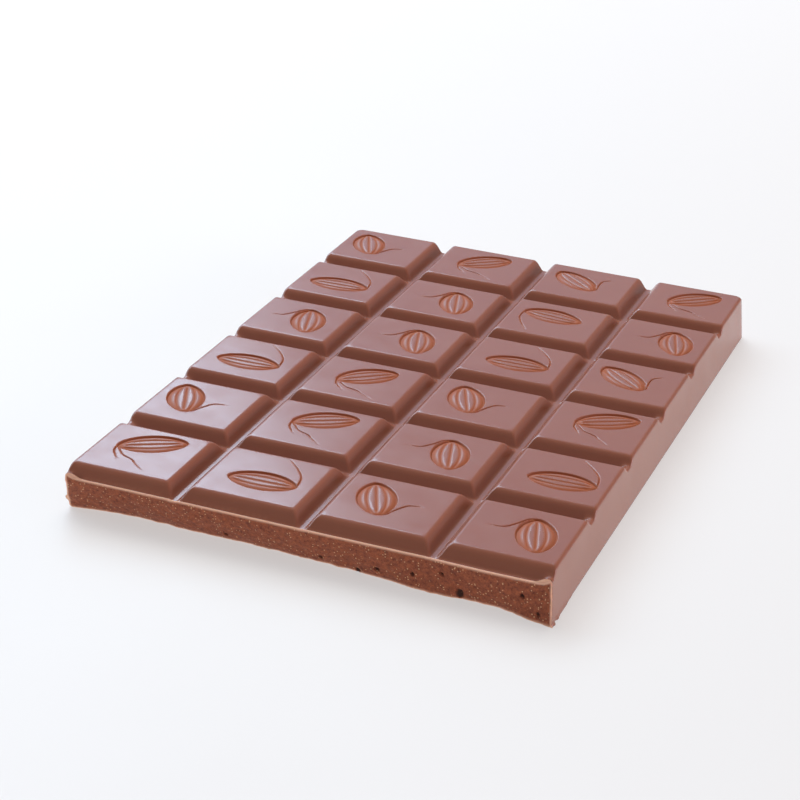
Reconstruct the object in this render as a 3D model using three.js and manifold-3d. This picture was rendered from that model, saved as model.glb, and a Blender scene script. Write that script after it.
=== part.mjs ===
// A slab of moulded milk chocolate, four pips wide and six deep, snapped off a longer tablet along
// a groove. It is one solid: a drafted block, the grooves that part it into pips, a cocoa pod
// engraved in every pip, and the slanting, pitted face where it was snapped.
// Millimetres, +Z up. The pips look up, the snapped face looks along -Y. While it is being made,
// X is 0 on the centre line, Y is 0 on the front groove and Z is 0 under the slab. At the end it
// is moved so that its origin is the centre of the foot of its box.

import * as THREE from 'three';
import { mergeVertices } from 'three/addons/utils/BufferGeometryUtils.js';
import Module from 'manifold-3d';

const wasm = await Module();
wasm.setup();

// The slab.
const COLUMNS = 4;
const ROWS = 6;
const PITCH_ACROSS = 20; // from groove to groove, along X
const PITCH_ALONG = 20.27; // from groove to groove, along Y
const THICKNESS = 8;
const SIDE_COLUMN = 18.3; // from the last groove to the foot of the side wall
const BACK_ROW = 19.05; // from the last groove to the foot of the back wall
const DRAFT = THREE.MathUtils.degToRad(5.5); // how far the outer walls lean in
const TOP_ROUND = 0.6;
const FOOT_CHAMFER = 0.2;
const CORNER_RADIUS = 1.2;
const TOP_ROUND_STEPS = 4;
const CORNER_STEPS = 3;
const HALF_WIDTH = (COLUMNS / 2 - 1) * PITCH_ACROSS + SIDE_COLUMN;
const BACK = (ROWS - 1) * PITCH_ALONG + BACK_ROW;
const SPARE = 4; // how far blanks and cutters run past the finished slab
const WELD = 1e-5; // corners that are closer than this are one

// The grooves.
const GROOVE_DEPTH = 1.95;
const GROOVE_FLOOR = 1.0; // width
const MOUTH_OF_LONG_GROOVE = 4.0; // width at the top, of the grooves along Y
const MOUTH_OF_CROSS_GROOVE = 4.8; // the same, of the grooves along X
const EDGE_SHARE = 0.3; // the share of a wall's run that its rounded top edge takes up
const EDGE_STEPS = 3;

// The snapped face, in stations evenly spaced from the left wall to the right one.
const BREAK_TOP = [0.45, 0.45, 0.4, 0.35, 0.3, 0.25, 0.2, -0.1, 0.0];
const BREAK_FOOT = [3.2, 4.3, 3.9, 3.8, 3.3, 2.7, 1.4, 1.6, -0.8];
const BREAK_CURVE = 1.4; // 1 is a straight face, and more is steep at the top
const BREAK_STEPS_ACROSS = 42;
const BREAK_STEPS_UP = 9;
const CRAG = 0.16; // how far crags stand in or out
const CRAG_IN_GROOVE = CRAG / 3; // the same, above the floor of the groove
const CRAG_LENGTH = 2.4;

// The waves that the crags are made of: each one's share, and its turns per crag length across and
// up. A second wave bends it, with a strength and with turns across and up of its own.
const CRAG_WAVES = [
  { share: 0.4, across: 0.41, up: 0, bend: 0.6, bendAcross: 0, bendUp: 0.53 },
  { share: 0.35, across: 0.93, up: -0.71, bend: 1.3, bendAcross: 0.37, bendUp: 0 },
  { share: 0.25, across: 0, up: 1.7, bend: 1.9, bendAcross: 0.83, bendUp: 0 },
];

// Air bubbles that the break opened: x, y, z and radius.
const BUBBLES = [
  [33.5, 0.16, 3.4, 0.32],
  [36.1, -0.18, 1.2, 0.28],
  [-12.7, 2.95, 1.3, 0.32],
  [2.5, 2.5, 1.3, 0.3],
  [11.4, 1.75, 1.7, 0.36],
  [17.0, 1.0, 2.6, 0.28],
  [21.5, 0.6, 3.9, 0.26],
];
const BUBBLE_DETAIL = 1; // how often a bubble's triangles are split

// A tear that runs up the snapped face from its foot: a raised drop with a hollow on its right.
const DROP = { at: [23.1, 1.15, 1.6], half: [0.5, 0.6, 1.35] };
const HOLLOW = { at: [24.1, 1.1, 1.0], half: [0.55, 0.6, 0.85] };
const TEAR_DETAIL = 2;

// The cocoa pods. A line is engraved as a V.
const LINE_WIDTH = 0.5;
const LINE_DEPTH = 0.24;
const LINE_LIFT = 0.06; // how far a cutter's widest level is above the pip
const POD_LENGTH = 10.6;
const POD_WIDTH = 5.8;
const POD_FULLNESS = 0.62; // 1 is a slender lens, and 0.5 is an ellipse
const OUTLINE_STEPS = 6;
const RIBS = [-0.5, 0, 0.5]; // as shares of the pod's half width
const RIB_REACH = 0.84; // how far a rib runs towards the tips
const RIB_STEPS = 3;
const STEM_STEPS = 4;
const PRONG_STEPS = 2;

// Stems, in shares of the pod's half length along it and across it. Each starts at a tip.
const STEMS = {
  forked: [
    [[-1.0, 0], [-0.95, -0.36], [-0.89, -0.65], [-0.66, -1.0], [-0.62, -1.2], [-0.46, -1.68]],
    [[-1.0, 0], [-1.12, -0.32], [-1.1, -0.78]],
  ],
  arched: [[[1.0, 0], [0.92, 0.62], [0.64, 1.12], [0.24, 1.62]]],
  curled: [[[-1.0, 0], [-0.94, -0.25], [-0.63, -0.55], [-0.38, -0.88], [-0.42, -1.24]]],
};

// Where a pod lies in its pip: its stem, its centre in shares of the pitches, and its turn.
const PLACES = {
  a: { stem: 'forked', centre: [0.525, 0.64], turn: 30.5 },
  b: { stem: 'arched', centre: [0.515, 0.43], turn: 2 },
  c: { stem: 'curled', centre: [0.375, 0.535], turn: 111 },
  d: { stem: 'curled', centre: [0.607, 0.49], turn: -75 },
  e: { stem: 'curled', centre: [0.4, 0.54], turn: 138 },
  f: { stem: 'forked', centre: [0.5, 0.6], turn: 40 },
  g: { stem: 'arched', centre: [0.47, 0.6], turn: 172 },
};
const LAYOUT = ['abcd', 'cadb', 'bfca', 'ddbe', 'bdgd', 'cfef']; // the front row first

// A closed geometry as a manifold-3d solid, turned the right way out.
function toSolid(geometry) {
  const bare = geometry.clone();
  bare.deleteAttribute('normal');
  bare.deleteAttribute('uv');
  const merged = mergeVertices(bare, WELD);
  const vertProperties = new Float32Array(merged.attributes.position.array);
  const triVerts = new Uint32Array(merged.index.array);
  const solid = new wasm.Manifold(new wasm.Mesh({ numProp: 3, vertProperties, triVerts }));
  if (solid.volume() > 0) {
    return solid;
  }
  triVerts.reverse();
  return new wasm.Manifold(new wasm.Mesh({ numProp: 3, vertProperties, triVerts }));
}

function toGeometry(solid) {
  const mesh = solid.getMesh();
  const geometry = new THREE.BufferGeometry();
  geometry.setAttribute('position', new THREE.BufferAttribute(mesh.vertProperties, 3));
  geometry.setIndex(new THREE.BufferAttribute(mesh.triVerts, 1));
  geometry.computeVertexNormals();
  return geometry;
}

// The block's outline at one level, as points that run anticlockwise.
function blockOutline(inset) {
  const right = HALF_WIDTH - inset - CORNER_RADIUS;
  const back = BACK - inset - CORNER_RADIUS;
  const front = -SPARE;
  const shape = new THREE.Shape();
  shape.moveTo(-right - CORNER_RADIUS, front);
  shape.lineTo(right + CORNER_RADIUS, front);
  shape.absarc(right, back, CORNER_RADIUS, 0, Math.PI / 2, false);
  shape.absarc(-right, back, CORNER_RADIUS, Math.PI / 2, Math.PI, false);
  return shape.getPoints(CORNER_STEPS);
}

// Level and inset of each ring from the foot to the top: a chamfer, the draft and a round edge.
function blockLevels() {
  const roundStart = THICKNESS - TOP_ROUND + TOP_ROUND * Math.sin(DRAFT);
  const roundCentre = roundStart * Math.tan(DRAFT) + TOP_ROUND * Math.cos(DRAFT);
  const levels = [
    [0, FOOT_CHAMFER],
    [FOOT_CHAMFER, 0],
  ];
  for (let i = 0; i <= TOP_ROUND_STEPS; i += 1) {
    const angle = THREE.MathUtils.lerp(DRAFT, Math.PI / 2, i / TOP_ROUND_STEPS);
    const height = THICKNESS - TOP_ROUND + TOP_ROUND * Math.sin(angle);
    levels.push([height, roundCentre - TOP_ROUND * Math.cos(angle)]);
  }
  return levels;
}

// Rings of equal count, joined from the lowest to the highest and closed with flat ends.
function loft(rings) {
  const count = rings[0].length;
  const positions = rings.flatMap((ring) => ring.flatMap((point) => point.toArray()));
  const indices = [];
  for (let level = 0; level + 1 < rings.length; level += 1) {
    for (let i = 0; i < count; i += 1) {
      const here = level * count + i;
      const next = level * count + ((i + 1) % count);
      indices.push(here, next, next + count);
      indices.push(here, next + count, here + count);
    }
  }
  const last = (rings.length - 1) * count;
  const outline = rings[0].map((point) => new THREE.Vector2(point.x, point.y));
  for (const [a, b, c] of THREE.ShapeUtils.triangulateShape(outline, [])) {
    indices.push(a, c, b);
    indices.push(last + a, last + b, last + c);
  }
  const geometry = new THREE.BufferGeometry();
  geometry.setAttribute('position', new THREE.Float32BufferAttribute(positions, 3));
  geometry.setIndex(indices);
  return geometry;
}

function block() {
  const rings = blockLevels().map(([height, inset]) =>
    blockOutline(inset).map((point) => new THREE.Vector3(point.x, point.y, height)),
  );
  return toSolid(loft(rings));
}

// A groove's section, drawn with its floor down, extruded and laid along -Y from the origin.
function grooveCutter(mouth, length) {
  const top = THICKNESS;
  const floor = THICKNESS - GROOVE_DEPTH;
  const halfMouth = mouth / 2;
  const halfFloor = GROOVE_FLOOR / 2;
  const roundRun = EDGE_SHARE * (halfMouth - halfFloor);
  const edge = halfMouth - roundRun / 2; // where the straight wall would meet the top
  const wallX = edge - roundRun; // where the wall turns into its round edge
  const wallZ = top - (GROOVE_DEPTH * roundRun) / (edge - halfFloor);
  const shape = new THREE.Shape();
  shape.moveTo(-halfFloor, floor);
  shape.lineTo(halfFloor, floor);
  shape.lineTo(wallX, wallZ);
  shape.quadraticCurveTo(edge, top, halfMouth, top);
  shape.lineTo(halfMouth, top + SPARE);
  shape.lineTo(-halfMouth, top + SPARE);
  shape.lineTo(-halfMouth, top);
  shape.quadraticCurveTo(-edge, top, -wallX, wallZ);
  const settings = { depth: length, bevelEnabled: false, curveSegments: EDGE_STEPS };
  return new THREE.ExtrudeGeometry(shape, settings).rotateX(Math.PI / 2);
}

function grooveCutters() {
  const cutters = [];
  const start = BACK + SPARE;
  for (let column = 1; column < COLUMNS; column += 1) {
    const long = grooveCutter(MOUTH_OF_LONG_GROOVE, start + 2 * SPARE);
    cutters.push(long.translate((column - COLUMNS / 2) * PITCH_ACROSS, start, 0));
  }
  const width = 2 * (HALF_WIDTH + SPARE);
  for (let row = 0; row < ROWS; row += 1) {
    const cross = grooveCutter(MOUTH_OF_CROSS_GROOVE, width).rotateZ(Math.PI / 2);
    cutters.push(cross.translate(-width / 2, row * PITCH_ALONG, 0));
  }
  return cutters;
}

// A smooth line through stations evenly spaced across the slab.
function stationLine(values) {
  const points = values.map((value, i) => new THREE.Vector2(i, value));
  const curve = new THREE.SplineCurve(points);
  return (x) => {
    const share = THREE.MathUtils.clamp((x + HALF_WIDTH) / (2 * HALF_WIDTH), 0, 1);
    return curve.getPoint(share).y;
  };
}

// Uneven ground between -1 and 1, from waves that don't repeat together.
function crags(x, z) {
  const u = (2 * Math.PI * x) / CRAG_LENGTH;
  const v = (2 * Math.PI * z) / CRAG_LENGTH;
  let ground = 0;
  for (const wave of CRAG_WAVES) {
    const bend = wave.bend * Math.sin(wave.bendAcross * u + wave.bendUp * v);
    ground += wave.share * Math.sin(wave.across * u + wave.up * v + bend);
  }
  return ground;
}

// What lies in front of the snapped face: a gridded box whose far side is bent to that face.
function breakCutter() {
  const width = 2 * (HALF_WIDTH + SPARE);
  const height = THICKNESS + SPARE;
  const box = new THREE.BoxGeometry(width, SPARE, height, BREAK_STEPS_ACROSS, 1, BREAK_STEPS_UP);
  const boxY = -3 * SPARE;
  box.translate(0, boxY, THICKNESS / 2);
  const topLine = stationLine(BREAK_TOP);
  const footLine = stationLine(BREAK_FOOT);
  const crest = THICKNESS - GROOVE_DEPTH;
  const position = box.attributes.position;
  for (let i = 0; i < position.count; i += 1) {
    const isFarSide = position.getY(i) > boxY;
    if (isFarSide) {
      const x = position.getX(i);
      const z = position.getZ(i);
      const fall = THREE.MathUtils.clamp((crest - z) / crest, 0, 1) ** BREAK_CURVE;
      const roughness = z > crest ? CRAG_IN_GROOVE : CRAG;
      const y = THREE.MathUtils.lerp(topLine(x), footLine(x), fall);
      position.setY(i, y + roughness * crags(x, z));
    }
  }
  return box;
}

function ellipsoid({ at, half }) {
  return new THREE.IcosahedronGeometry(1, TEAR_DETAIL).scale(...half).translate(...at);
}

function bubbleCutters() {
  return BUBBLES.map(([x, y, z, radius]) =>
    new THREE.IcosahedronGeometry(radius, BUBBLE_DETAIL).translate(x, y, z),
  );
}

// Half the pod's width at a share of its half length.
function podHalfWidth(share) {
  return (POD_WIDTH / 2) * (1 - share * share) ** POD_FULLNESS;
}

// A line along the pod at a share of its half width, as points in the pod's own plane.
function meridian(share, reach, steps) {
  const points = [];
  for (let i = 0; i <= steps; i += 1) {
    const angle = (Math.PI * i) / steps;
    const along = -reach * Math.cos(angle);
    points.push([(POD_LENGTH / 2) * along, share * podHalfWidth(along)]);
  }
  return points;
}

// The pod's lines, each as its points and its number of steps.
function podLines(stem) {
  const lines = [
    { points: meridian(1, 1, OUTLINE_STEPS), steps: OUTLINE_STEPS },
    { points: meridian(-1, 1, OUTLINE_STEPS), steps: OUTLINE_STEPS },
  ];
  for (const rib of RIBS) {
    const steps = rib === 0 ? 1 : RIB_STEPS;
    lines.push({ points: meridian(rib, RIB_REACH, RIB_STEPS), steps });
  }
  STEMS[stem].forEach((line, i) => {
    const points = line.map(([along, across]) => [
      (along * POD_LENGTH) / 2,
      (across * POD_LENGTH) / 2,
    ]);
    lines.push({ points, steps: i === 0 ? STEM_STEPS : PRONG_STEPS });
  });
  return lines;
}

// A cutter of diamond section along one line, flat at the height of the pip's top.
function lineCutter({ points, steps }) {
  const halfWidth = (LINE_WIDTH / 2) * (1 + LINE_LIFT / LINE_DEPTH);
  const halfHeight = LINE_DEPTH + LINE_LIFT;
  const section = new THREE.Shape([
    new THREE.Vector2(halfHeight, 0),
    new THREE.Vector2(0, halfWidth),
    new THREE.Vector2(-halfHeight, 0),
    new THREE.Vector2(0, -halfWidth),
  ]);
  const path = new THREE.CatmullRomCurve3(points.map(([x, y]) => new THREE.Vector3(x, y, 0)));
  const settings = { steps, extrudePath: path, bevelEnabled: false };
  return new THREE.ExtrudeGeometry(section, settings);
}

function podCutters(row, column) {
  const { stem, centre, turn } = PLACES[LAYOUT[row][column]];
  const x = (column - COLUMNS / 2 + centre[0]) * PITCH_ACROSS;
  const y = (row + centre[1]) * PITCH_ALONG;
  return podLines(stem).map((line) =>
    lineCutter(line)
      .rotateZ(THREE.MathUtils.degToRad(turn))
      .translate(x, y, THICKNESS + LINE_LIFT),
  );
}

function slab() {
  const cutters = [...grooveCutters(), breakCutter()];
  for (let row = 0; row < ROWS; row += 1) {
    for (let column = 0; column < COLUMNS; column += 1) {
      cutters.push(...podCutters(row, column));
    }
  }
  let solid = block();
  for (const cutter of cutters) {
    solid = solid.subtract(toSolid(cutter));
  }
  solid = solid.subtract(toSolid(ellipsoid(HOLLOW)));
  solid = solid.add(toSolid(ellipsoid(DROP)));
  for (const cutter of bubbleCutters()) {
    solid = solid.subtract(toSolid(cutter));
  }
  return toGeometry(solid);
}

const chocolate = new THREE.MeshStandardMaterial({
  color: 0x7a4a38,
  roughness: 0.35,
  metalness: 0,
});

const mesh = new THREE.Mesh(slab(), chocolate);
mesh.name = 'chocolate_slab';
mesh.geometry.computeBoundingBox();
const middle = mesh.geometry.boundingBox.getCenter(new THREE.Vector3());
mesh.position.set(-middle.x, -middle.y, 0);

const part = new THREE.Group();
part.add(mesh);

export default part;
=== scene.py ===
# %% [markdown]
# # A snapped slab of milk chocolate
# The object is one piece: a slab of moulded milk chocolate, four pips wide and six pips deep, with
# a cocoa pod engraved in every pip, that was snapped off a longer tablet along a groove.
# The CAD part gives its true size and its main shapes. This notebook gives it its looks: a finer
# mesh with soft edges and a crumbly snapped face, the finishes of the chocolate, and a bright
# table to see it on. Lengths here are in millimetres, and become metres when the mesh is made.

# %% Load the CAD slab
import math
from collections import Counter

import bpy
import numpy as np
from mathutils import Matrix, Vector, noise
from mathutils.geometry import delaunay_2d_cdt


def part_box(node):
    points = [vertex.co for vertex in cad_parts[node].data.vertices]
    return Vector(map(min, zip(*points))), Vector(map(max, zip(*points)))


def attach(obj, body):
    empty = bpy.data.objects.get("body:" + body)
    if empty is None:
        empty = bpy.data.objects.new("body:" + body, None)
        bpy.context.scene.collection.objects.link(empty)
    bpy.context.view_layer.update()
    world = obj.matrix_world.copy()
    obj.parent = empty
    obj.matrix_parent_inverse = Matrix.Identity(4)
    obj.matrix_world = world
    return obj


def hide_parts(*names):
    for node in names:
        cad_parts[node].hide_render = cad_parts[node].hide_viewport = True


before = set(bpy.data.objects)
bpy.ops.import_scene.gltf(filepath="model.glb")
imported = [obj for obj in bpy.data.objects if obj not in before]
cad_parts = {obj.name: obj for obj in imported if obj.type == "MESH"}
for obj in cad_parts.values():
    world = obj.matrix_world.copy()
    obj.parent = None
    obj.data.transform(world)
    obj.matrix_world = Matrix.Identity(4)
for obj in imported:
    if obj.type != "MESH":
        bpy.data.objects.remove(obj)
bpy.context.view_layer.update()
low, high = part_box("chocolate_slab")
MM = 0.001
print("CAD slab, mm:", [round(side / MM, 2) for side in high - low])

# %% [markdown]
# ## The plan of the slab
# A chocolate mould is cut from one flat plan, a grid of grooves between square pips. So a few
# driving sizes give the plan, and the rest follows from the CAD box. The long grooves run along
# the slab (Y), and the cross grooves run across it (X). The slab was snapped along the first cross
# groove, so only the back half of that groove is still there.

# %% The plan
COLUMNS, ROWS = 4, 6
PITCH_ACROSS = 20.0  # from groove to groove, along X
PITCH_ALONG = 20.27  # from groove to groove, along Y
BACK_ROW = 19.05  # from the last groove to the foot of the back wall

HALF_WIDTH = high.x / MM
BACK = high.y / MM
THICKNESS = high.z / MM
FRONT = BACK - BACK_ROW - (ROWS - 1) * PITCH_ALONG  # the groove that it was snapped along
LONG_GROOVES = [(i - COLUMNS / 2) * PITCH_ACROSS for i in range(1, COLUMNS)]
CROSS_GROOVES = [FRONT + i * PITCH_ALONG for i in range(ROWS)]
print("long grooves at x =", LONG_GROOVES)
print("cross grooves at y =", np.round(CROSS_GROOVES, 2))

# %% [markdown]
# ## The grooves
# In section a groove is a flat floor between two straight walls. Nothing in a mould is sharp: the
# walls' top edges are round so that the chocolate lets go, and a fillet joins them to the floor.
# A cross groove also gets shallower where it comes out at a side wall.
# Bevels would need edges to select. A height function needs none: the straight wall is a ramp,
# and a smooth maximum and minimum clip it at the top and at the floor, with a softness that rounds
# both edges. Where two grooves meet, the same smooth maximum rounds the corner of the pip.

# %% The section of a groove
GROOVE_DEPTH = 1.95
GROOVE_FLOOR = 1.0
LONG_MOUTH, CROSS_MOUTH = 4.0, 4.8  # width at the top
EDGE_SHARE = 0.3  # the share of a wall's run that its round edge takes up
EDGE_SOFTNESS, FLOOR_SOFTNESS, CORNER_SOFTNESS = 0.8, 0.35, 0.6  # more is rounder
EDGE_INSET = 1.45  # from the foot of an outer wall to the edge of the level top
END_RISE = 0.75  # how far a cross groove's floor rises at the side walls
END_RUN = 3.2  # how far from the foot of the side wall the rise starts


def smooth_max(a, b, softness):
    share = np.clip(0.5 + 0.5 * (a - b) / softness, 0, 1)
    return b + (a - b) * share + softness * share * (1 - share)


def smooth_min(a, b, softness):
    return -smooth_max(-a, -b, softness)


def wall_edge(mouth):
    """Where the straight wall would meet the top, from the groove's middle."""
    return mouth / 2 - EDGE_SHARE * (mouth - GROOVE_FLOOR) / 4


def wall_ramp(offset, mouth):
    """Depth of the straight wall at this offset, carried on past both of its ends."""
    edge = wall_edge(mouth)
    return GROOVE_DEPTH * (edge - abs(offset)) / (edge - GROOVE_FLOOR / 2)


def groove_depth(x, y):
    long = np.max([wall_ramp(x - middle, LONG_MOUTH) for middle in LONG_GROOVES], axis=0)
    cross = np.max([wall_ramp(y - middle, CROSS_MOUTH) for middle in CROSS_GROOVES], axis=0)
    ramp = smooth_max(long, cross, CORNER_SOFTNESS)
    near_side = np.clip((abs(x) - HALF_WIDTH + END_RUN) / (END_RUN - EDGE_INSET), 0, 1)
    floor = GROOVE_DEPTH - END_RISE * near_side**2
    return smooth_min(smooth_max(ramp, 0, EDGE_SOFTNESS), floor, FLOOR_SOFTNESS)


mid_pip = FRONT + PITCH_ALONG / 2
print("depth across a long groove:", np.round(groove_depth(np.arange(0, 2.6, 0.5), mid_pip), 2))

# %% [markdown]
# ## The cocoa pods
# A generic cocoa pod is engraved in every pip: an outline, three ribs and a stem, cut by an
# engraver in the mould's master. Outside the outline the cut is steep. Inside, the pod swells up
# from it in a wide, round flank, and the ribs part it into four soft lobes.
# The pod could be cut with swept tubes and Booleans, but those leave hard, flat-bottomed lines.
# Here the engraving is a height too: its depth at a point falls off with the distance to the
# nearest line, by a curve that is steep at the line and level where the flank ends.

# %% The lines of a pod
POD_LENGTH, POD_WIDTH = 10.6, 5.8
POD_FULLNESS = 0.62  # 1 is a slender lens, and 0.5 is an ellipse
RIBS = (-0.5, 0.0, 0.5)  # as shares of the pod's half width
RIB_REACH = 0.84  # how far a rib runs towards the tips
OUTLINE_DEPTH, RIB_DEPTH, STEM_DEPTH = 0.36, 0.19, 0.26
RIB_FADE, STEM_FADE = 1 / 6, 0.35  # the shares of a line in which it fades out at its ends
STEM_TAPER = 0.7  # 1 fades evenly, and less keeps the stem deep for longer
LINE_STEPS = 24  # straight pieces in a line

# Stems, in shares of the pod's half length along it and across it. Each starts at a tip.
STEMS = {
    "forked": [
        [(-1.0, 0), (-0.95, -0.36), (-0.89, -0.65), (-0.66, -1.0), (-0.62, -1.2), (-0.46, -1.68)],
        [(-1.0, 0), (-1.12, -0.32), (-1.1, -0.78)],
    ],
    "arched": [[(1.0, 0), (0.92, 0.62), (0.64, 1.12), (0.24, 1.62)]],
    "curled": [[(-1.0, 0), (-0.94, -0.25), (-0.63, -0.55), (-0.38, -0.88), (-0.42, -1.24)]],
}


def through(values, shares):
    """A smooth line through evenly spaced values or points, at shares of its length."""
    values = np.asarray(values, float)
    padded = np.concatenate([values[:1], values, values[-1:]])
    place = np.clip(shares, 0, 1) * (len(values) - 1)
    i = np.minimum(place.astype(int), len(values) - 2)
    t = (place - i).reshape(-1, *[1] * (values.ndim - 1))
    a, b, c, d = padded[i], padded[i + 1], padded[i + 2], padded[i + 3]
    bend = (2 * a - 5 * b + 4 * c - d) * t**2 + (3 * b - 3 * c + d - a) * t**3
    return b + 0.5 * ((c - a) * t + bend)


def pod_half_width(along):
    """Half the pod's width at a share of its half length."""
    return POD_WIDTH / 2 * np.maximum(1 - along**2, 0) ** POD_FULLNESS


def meridian(share, reach, steps=LINE_STEPS):
    """A line from tip to tip at a share of the pod's half width."""
    along = -reach * np.cos(np.linspace(0, math.pi, steps + 1))
    return np.column_stack([POD_LENGTH / 2 * along, share * pod_half_width(along)])


def pod_lines(stem):
    """The pod's lines in its own plane: for each kind, points and the depth at each point."""
    shares = np.linspace(0, 1, LINE_STEPS + 1)
    fade_in_and_out = np.clip(np.minimum(shares, 1 - shares) / RIB_FADE, 0, 1)
    fade_out = np.clip((1 - shares) / STEM_FADE, 0, 1) ** STEM_TAPER
    return {
        "outline": [(meridian(side, 1), OUTLINE_DEPTH + 0 * shares) for side in (-1, 1)],
        "ribs": [(meridian(rib, RIB_REACH), RIB_DEPTH * fade_in_and_out) for rib in RIBS],
        "stem": [
            (through(points, shares) * POD_LENGTH / 2, STEM_DEPTH * fade_out)
            for points in STEMS[stem]
        ],
    }


PODS = {stem: pod_lines(stem) for stem in STEMS}
for stem, pod in PODS.items():
    print(stem, "pod:", {kind: len(lines) for kind, lines in pod.items()})

# %% The depth of the engraving
LINE_REACH = 0.25  # half the width of a line on the level top
FLANK_REACH = 1.25  # how far the pod's flank runs in from its outline
RIB_FLANK = 0.52  # how far a rib's flanks run to each side


def cut(points, lines, reach):
    """Depth at points in the pod's plane that lines with flanks of this reach give."""
    deepest = np.zeros(len(points))
    for line, depth in lines:
        start, run = line[:-1], np.diff(line, axis=0)
        offset = points[:, None] - start
        share = np.clip((offset * run).sum(2) / (run**2).sum(1), 0, 1)
        gap = np.linalg.norm(offset - share[..., None] * run, axis=2)
        here = depth[:-1] + share * np.diff(depth)
        flank = np.clip(1 - gap / np.reshape(reach, (-1, 1)), 0, 1) ** 2
        deepest = np.maximum(deepest, (here * flank).max(axis=1))
    return deepest


def engraving(points, pod):
    """Depth of the pod's engraving at points in its plane."""
    along, across = points[:, 0] / (POD_LENGTH / 2), points[:, 1]
    inside = (abs(along) < 1) & (abs(across) < pod_half_width(along))
    outline = cut(points, pod["outline"], np.where(inside, FLANK_REACH, LINE_REACH))
    ribs = cut(points, pod["ribs"], RIB_FLANK) * inside
    return np.maximum(outline + ribs, cut(points, pod["stem"], LINE_REACH))


across_pod = np.column_stack([np.zeros(7), np.linspace(0, 3, 7)])
print("depth across half a pod:", np.round(engraving(across_pod, PODS["arched"]), 2))

# %% [markdown]
# ## Where each pod lies
# The engraver used one pod and turned it by hand from pip to pip. Seven placings are enough: each
# gives the stem, the middle as shares of the pitches, and the turn in degrees. A letter for every
# pip then says which placing it has.

# %% Places of the pods
PLACES = {
    "a": ("forked", (0.525, 0.64), 30.5),
    "b": ("arched", (0.515, 0.43), 2),
    "c": ("curled", (0.375, 0.535), 111),
    "d": ("curled", (0.607, 0.49), -75),
    "e": ("curled", (0.4, 0.54), 138),
    "f": ("forked", (0.5, 0.6), 40),
    "g": ("arched", (0.47, 0.6), 172),
}
LAYOUT = ["abcd", "cadb", "bfca", "ddbe", "bdgd", "cfef"]  # the front row first


class Pip:
    """One pip: its corner on the grid of grooves, and its pod's place in the slab."""

    def __init__(self, row, column):
        self.stem, (across, along), degrees = PLACES[LAYOUT[row][column]]
        self.x = (column - COLUMNS / 2) * PITCH_ACROSS
        self.y = CROSS_GROOVES[row]
        self.middle = np.array([self.x + across * PITCH_ACROSS, self.y + along * PITCH_ALONG])
        turn = math.radians(degrees)
        self.turn = np.array([[math.cos(turn), -math.sin(turn)], [math.sin(turn), math.cos(turn)]])

    def has(self, points):
        """Which points lie within the pip, out to the middles of its grooves."""
        east, north = points[:, 0] - self.x, points[:, 1] - self.y
        return (east >= 0) & (east < PITCH_ACROSS) & (north >= 0) & (north < PITCH_ALONG)

    def to_slab(self, points):
        return points @ self.turn.T + self.middle

    def to_pod(self, points):
        return (points - self.middle) @ self.turn


PIPS = [Pip(row, column) for row in range(ROWS) for column in range(COLUMNS)]
print(len(PIPS), "pips")

# %% [markdown]
# ## The height of the top
# Grooves and pods together give the height of the moulded top. Cooling chocolate also shrinks a
# little unevenly, so a broad, shallow unevenness is added. It can't be seen as a shape, but
# it bends the reflections a little, as on real chocolate.

# %% The height of the top
SHRINK, SHRINK_LENGTH = 0.022, 11.0  # depth of the unevenness, and the distance between its hollows


def noise_at(points, length, seed=0.0):
    """Smooth noise from -1 to 1 at points of two or three coordinates, one length per bump."""
    offset = Vector((seed, 7.3 * seed, -3.1 * seed))
    return np.array([noise.noise(Vector(p).to_3d() / length + offset) for p in points])


def engraved_depth(points):
    """Depth of the pods' engraving at points of the slab."""
    depth = np.zeros(len(points))
    for pip in PIPS:
        mine = pip.has(points)
        depth[mine] = engraving(pip.to_pod(points[mine]), PODS[pip.stem])
    return depth


def top_height(points):
    height = THICKNESS - groove_depth(points[:, 0], points[:, 1])
    return height + SHRINK * noise_at(points, SHRINK_LENGTH) - engraved_depth(points)


# %% [markdown]
# ## The snapped face
# Chocolate breaks along its thinnest line. The crack starts in the groove and wanders to the
# underside, so the face leans back and waves from side to side. Two lines drive it, one along
# its top and one along its foot, as offsets from the middle of the groove at nine evenly spaced
# stations. Between them the face curves, and crags stand in and out of it.
# Well tempered chocolate breaks with a fine grain like broken slate, so a sugar grain is added to
# the crags. A torn drop, the hollow beside it and the air bubbles that the break
# opened are ellipsoids: one stands proud of the face, and the others are scooped out of it.

# %% The shape of the snapped face
# Offsets at the stations, from the left wall to the right one
BREAK_TOP = [0.45, 0.45, 0.4, 0.35, 0.3, 0.25, 0.2, -0.1, 0.0]
BREAK_FOOT = [3.2, 4.3, 3.9, 3.8, 3.3, 2.7, 1.4, 1.6, -0.8]
BREAK_CURVE = 1.4  # 1 is a straight face, and more is steep at the top
CREST = 0.24  # radius of the crumbled top edge
CRAG, CRAG_LENGTH = 0.1, 2.4
GRAIN = ((0.12, 1.5), (0.06, 0.5), (0.035, 0.26))  # height and length of each size of grain
FACE_START = 0.9  # depth below the top edge at which crags and grain have their full height
LEAST_ROUGH = 0.1  # the share of their height that they have at the edge

# The crags' waves: a share, turns per crag length across and up, and a bend with turns of its own.
CRAG_WAVES = (
    (0.4, (0.41, 0.0), 0.6, (0.0, 0.53)),
    (0.35, (0.93, -0.71), 1.3, (0.37, 0.0)),
    (0.25, (0.0, 1.7), 1.9, (0.83, 0.0)),
)

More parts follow.
